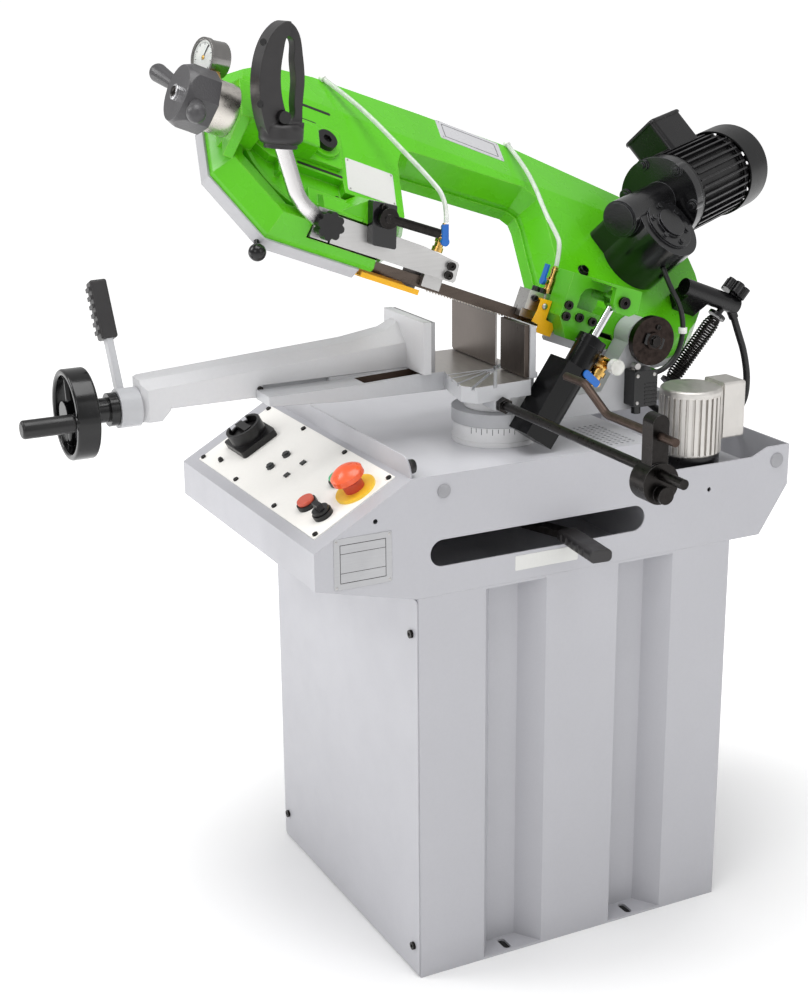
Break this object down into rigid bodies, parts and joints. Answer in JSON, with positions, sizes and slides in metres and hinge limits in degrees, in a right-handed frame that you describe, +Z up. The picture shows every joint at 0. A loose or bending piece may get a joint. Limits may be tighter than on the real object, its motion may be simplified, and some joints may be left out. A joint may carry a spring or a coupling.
{
  "type": "metal-cutting band saw",
  "caption": "Pull-down metal-cutting band saw on a sheet-steel cabinet: tilted bow with gearmotor, screw vise on a turntable, coolant tray, pump, length stop and slanted control console.",
  "frame": {"origin": "floor level at the centre of the four anchor slots in the cabinet foot plate", "axes": "+Z up, -Y towards the operator and the control console, +X towards the operator's right, the side where the cut length comes off"},
  "size_m": [0.884, 1.2467, 1.37],
  "materials": {
    "cabinet_paint": "satin powder coat",
    "bow_green": "gloss paint on casting",
    "vise_paint": "light grey paint on casting",
    "ground_steel": "ground",
    "bright_steel": "bright",
    "chrome": "polished",
    "black_plastic": "moulded",
    "black_paint": "satin black",
    "panel_plate": "smooth foil",
    "panel_plastic": "moulded fittings",
    "estop_red": "gloss",
    "start_green": "gloss",
    "stop_red": "gloss",
    "pump_alu": "cast",
    "motor_alu": "black painted",
    "fan_grey": "pressed sheet",
    "guard_yellow": "paint",
    "brass": "machined",
    "lever_blue": "moulded",
    "hose_clear": "clear vinyl",
    "cable_black": "sheathed",
    "blade_steel": "hardened",
    "zinc": "zinc plated"
  },
  "bodies": {
    "base": {"cabinet_shell": "cabinet_paint", "cabinet_front_panel": "cabinet_paint", "panel_screws": "zinc", "tray_housing": "cabinet_paint", "control_panel": "panel_plate", "panel_fittings": "panel_plastic", "turntable_base": "vise_paint", "vise_bed": "vise_paint", "fixed_jaw": "vise_paint", "fixed_jaw_plates": "ground_steel", "coolant_pump": "pump_alu", "stop_rod": "black_paint"},
    "swivel": {"swivel_head": "vise_paint", "feed_cylinder": "black_paint", "limit_switch": "black_plastic", "return_spring": "black_paint"},
    "bow": {"bow_casting": "bow_green", "wheel_cover": "cabinet_paint", "saw_blade": "blade_steel", "tension_gauge": "bright_steel", "gearbox": "motor_alu", "drive_motor": "motor_alu", "motor_fan_cover": "fan_grey", "guide_clamp": "black_paint", "operator_handle": "black_plastic", "rear_guide": "bright_steel", "blade_guard_rear": "guard_yellow", "rear_tap": "brass", "spring_arm": "black_paint", "pivot_shaft": "ground_steel", "hose_rear": "hose_clear", "hose_front": "hose_clear", "motor_cable": "cable_black", "switch_cable": "cable_black"},
    "beam": {"guide_beam": "vise_paint", "blade_guard_front": "guard_yellow", "front_tap": "brass"},
    "main_switch_knob_body": {"main_switch_knob": "black_plastic"},
    "estop_button_body": {"estop_button": "estop_red"},
    "start_button_body": {"start_button": "start_green"},
    "stop_button_body": {"stop_button": "stop_red"},
    "selector_knob_body": {"selector_knob": "black_plastic"},
    "lock_lever_body": {"lock_lever": "black_paint"},
    "stop_clamp_body": {"stop_clamp": "black_paint"},
    "stop_finger_body": {"stop_finger": "ground_steel"},
    "vise_ram_body": {"vise_ram": "vise_paint"},
    "vise_handwheel_body": {"vise_handwheel": "black_paint"},
    "crank_handle_body": {"crank_handle": "black_plastic"},
    "quick_lever_body": {"quick_lever": "vise_paint"},
    "feed_valve_knob_body": {"feed_valve_knob": "brass"},
    "feed_rod_body": {"feed_rod": "chrome"},
    "idler_block_body": {"idler_block": "black_paint"},
    "idler_wheel_body": {"idler_wheel": "vise_paint"},
    "drive_wheel_body": {"drive_wheel": "vise_paint"},
    "rotor_shaft_body": {"rotor_shaft": "bright_steel"},
    "tension_hub_body": {"tension_hub": "black_plastic"},
    "clamp_lever_body": {"clamp_lever": "black_paint"},
    "front_tap_lever_body": {"front_tap_lever": "lever_blue"},
    "rear_tap_lever_body": {"rear_tap_lever": "lever_blue"},
    "handle_trigger_body": {"handle_trigger": "black_plastic"}
  },
  "joints": [
    {"name": "main_switch_turn", "type": "hinge", "parent": "base", "child": "main_switch_knob_body", "pos_m": [-0.151, -0.35372, 0.76206], "axis": [0, -0.4942, 0.8693], "range_deg": [0, 90]},
    {"name": "estop_press", "type": "slide", "parent": "base", "child": "estop_button_body", "axis": [0, 0.4942, -0.8693], "range_m": [0, 0.005], "stiffness_N_per_m": 1500},
    {"name": "start_press", "type": "slide", "parent": "base", "child": "start_button_body", "axis": [0, 0.4942, -0.8693], "range_m": [0, 0.0035], "stiffness_N_per_m": 800},
    {"name": "stop_press", "type": "slide", "parent": "base", "child": "stop_button_body", "axis": [0, 0.4942, -0.8693], "range_m": [0, 0.0035], "stiffness_N_per_m": 800},
    {"name": "selector_turn", "type": "hinge", "parent": "base", "child": "selector_knob_body", "pos_m": [0.1815, -0.37847, 0.73073], "axis": [0, -0.4942, 0.8693], "range_deg": [-45, 45]},
    {"name": "lock_lever_swing", "type": "hinge", "parent": "base", "child": "lock_lever_body", "pos_m": [0.118, -0.0675, 0.662], "axis": [0, 0, 1], "range_deg": [-45, 20]},
    {"name": "stop_clamp_slide", "type": "slide", "parent": "base", "child": "stop_clamp_body", "axis": [1, 0, 0], "range_m": [-0.155, 0.03]},
    {"name": "stop_finger_slide", "type": "slide", "parent": "stop_clamp_body", "child": "stop_finger_body", "axis": [1, 0, 0], "range_m": [-0.05, 0.04]},
    {"name": "handwheel_turn", "type": "hinge", "parent": "vise_ram_body", "child": "vise_handwheel_body", "pos_m": [0.025, -0.662, 0.863], "axis": [0, 1, 0], "range_deg": [-1656, 3380]},
    {"name": "vise_slide", "type": "slide", "parent": "base", "child": "vise_ram_body", "axis": [0, 1, 0], "range_m": [-0.0465, 0.0945]},
    {"name": "crank_handle_spin", "type": "hinge", "parent": "vise_handwheel_body", "child": "crank_handle_body", "pos_m": [0.07797, -0.716, 0.86485], "axis": [0, 1, 0], "continuous": true},
    {"name": "quick_lever_swing", "type": "hinge", "parent": "vise_ram_body", "child": "quick_lever_body", "pos_m": [0.025, -0.591, 0.863], "axis": [0, 1, 0], "range_deg": [-40, 25]},
    {"name": "swivel_turn", "type": "hinge", "parent": "base", "child": "swivel", "pos_m": [0.118, -0.0675, 0.828], "axis": [0, 0, 1], "range_deg": [0, 45]},
    {"name": "bow_pivot", "type": "hinge", "parent": "swivel", "child": "bow", "pos_m": [0.15, 0.151, 0.908], "axis": [-1, 0, 0], "range_deg": [-21.2, 6], "deforming": ["return_spring", "motor_cable", "switch_cable"]},
    {"name": "feed_rod_slide", "type": "slide", "parent": "swivel", "child": "feed_rod_body", "axis": [0, 0.569, 0.8224], "range_m": [-0.038, 0.0109]},
    {"name": "feed_valve_turn", "type": "hinge", "parent": "swivel", "child": "feed_valve_knob_body", "pos_m": [0.245, 0.05441, 0.89044], "axis": [1, 0, 0], "range_deg": [-180, 180]},
    {"name": "rotor_spin", "type": "hinge", "parent": "bow", "child": "rotor_shaft_body", "pos_m": [0.07272, 0.2056, 1.079], "axis": [-0.4353, 0.8921, 0.1209], "continuous": true},
    {"name": "drive_wheel_spin", "type": "hinge", "parent": "bow", "child": "drive_wheel_body", "pos_m": [0.01971, 0.19446, 0.97028], "axis": [0.7071, 0.2557, 0.6593], "continuous": true},
    {"name": "idler_wheel_spin", "type": "hinge", "parent": "idler_block_body", "child": "idler_wheel_body", "pos_m": [0.01971, -0.31738, 1.16882], "axis": [0.7071, 0.2557, 0.6593], "continuous": true},
    {"name": "tension_hub_turn", "type": "hinge", "parent": "bow", "child": "tension_hub_body", "pos_m": [0.07416, -0.49556, 1.27357], "axis": [0, -0.9323, 0.3616], "range_deg": [0, 720]},
    {"name": "idler_block_slide", "type": "slide", "parent": "bow", "child": "idler_block_body", "axis": [0, 0.9323, -0.3616], "range_m": [0, 0.0081]},
    {"name": "guide_beam_slide", "type": "slide", "parent": "bow", "child": "beam", "axis": [0, 0.9323, -0.3616], "range_m": [0, 0.045], "deforming": ["hose_front"]},
    {"name": "clamp_lever_turn", "type": "hinge", "parent": "bow", "child": "clamp_lever_body", "pos_m": [0.165, -0.26175, 1.11314], "axis": [1, 0, 0], "range_deg": [-20, 70]},
    {"name": "front_tap_turn", "type": "hinge", "parent": "beam", "child": "front_tap_lever_body", "pos_m": [0.148, -0.16641, 1.07134], "axis": [1, 0, 0], "range_deg": [0, 90]},
    {"name": "rear_tap_turn", "type": "hinge", "parent": "bow", "child": "rear_tap_lever_body", "pos_m": [0.126, 0.00501, 0.99895], "axis": [0, 0.9323, -0.3616], "range_deg": [0, 90]},
    {"name": "trigger_press", "type": "slide", "parent": "bow", "child": "handle_trigger_body", "axis": [-1, 0, 0], "range_m": [0, 0.003], "stiffness_N_per_m": 600}
  ],
  "couplings": [
    {"joint": "vise_slide", "follows": "handwheel_turn", "m_per_rad": 0.0015915},
    {"joint": "feed_rod_slide", "follows": "bow_pivot", "m_per_rad": 0.10192},
    {"joint": "drive_wheel_spin", "follows": "rotor_spin", "ratio": 0.033333},
    {"joint": "idler_wheel_spin", "follows": "rotor_spin", "ratio": 0.033333},
    {"joint": "idler_block_slide", "follows": "tension_hub_turn", "m_per_rad": 0.00063662}
  ]
}
